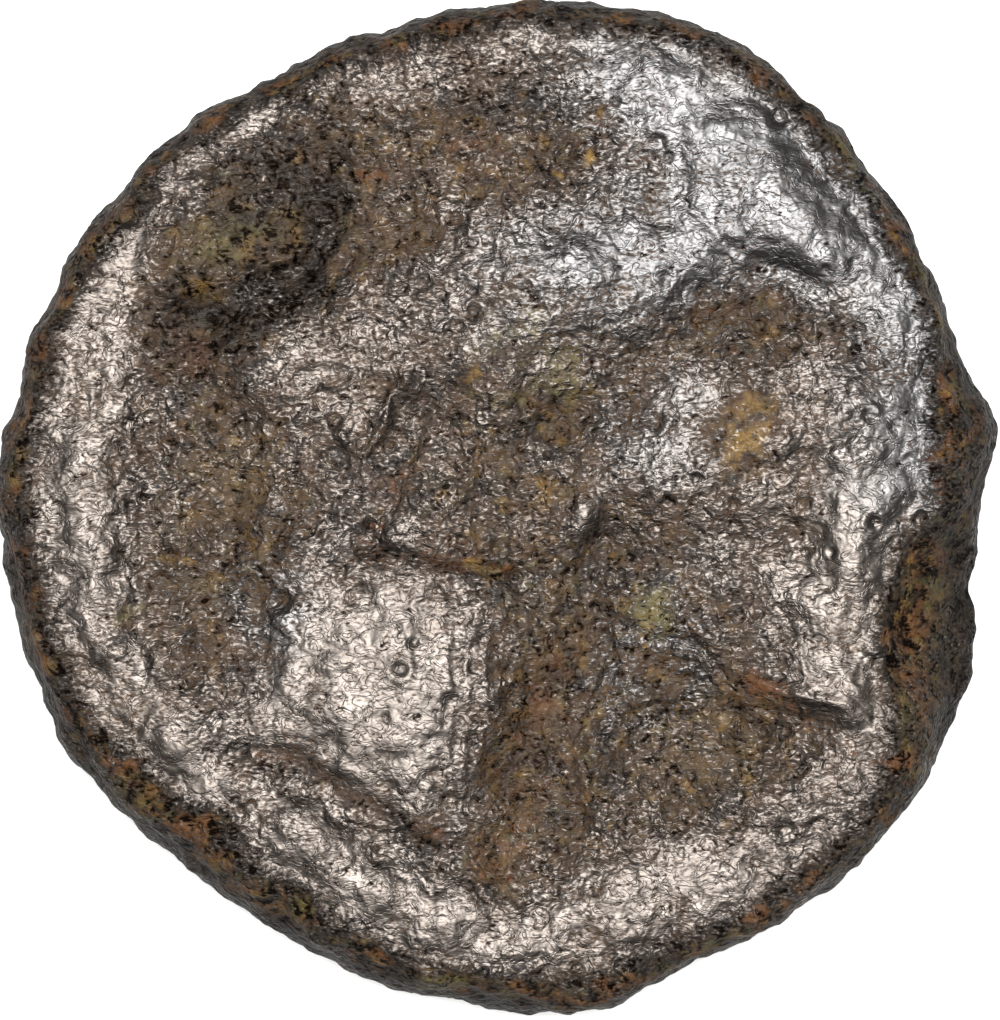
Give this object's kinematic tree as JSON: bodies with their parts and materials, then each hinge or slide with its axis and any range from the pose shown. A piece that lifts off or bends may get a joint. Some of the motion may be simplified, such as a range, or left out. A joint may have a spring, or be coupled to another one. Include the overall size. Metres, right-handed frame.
{
  "type": "cast copper coin",
  "caption": "Thick, uneven cast coin of antiquity with a worn helmeted head in low relief and a cut sprue facet at its edge.",
  "frame": {"origin": "under the middle of the coin's box, on the surface that the coin lies on", "axes": "+Z out of the obverse, along the coin's thickness; +Y to the top of the obverse's device, which faces -X"},
  "size_m": [0.0196, 0.02, 0.0038],
  "materials": {
    "patinated_copper": "satin"
  },
  "bodies": {
    "root": {"coin": "patinated_copper"}
  },
  "joints": []
}
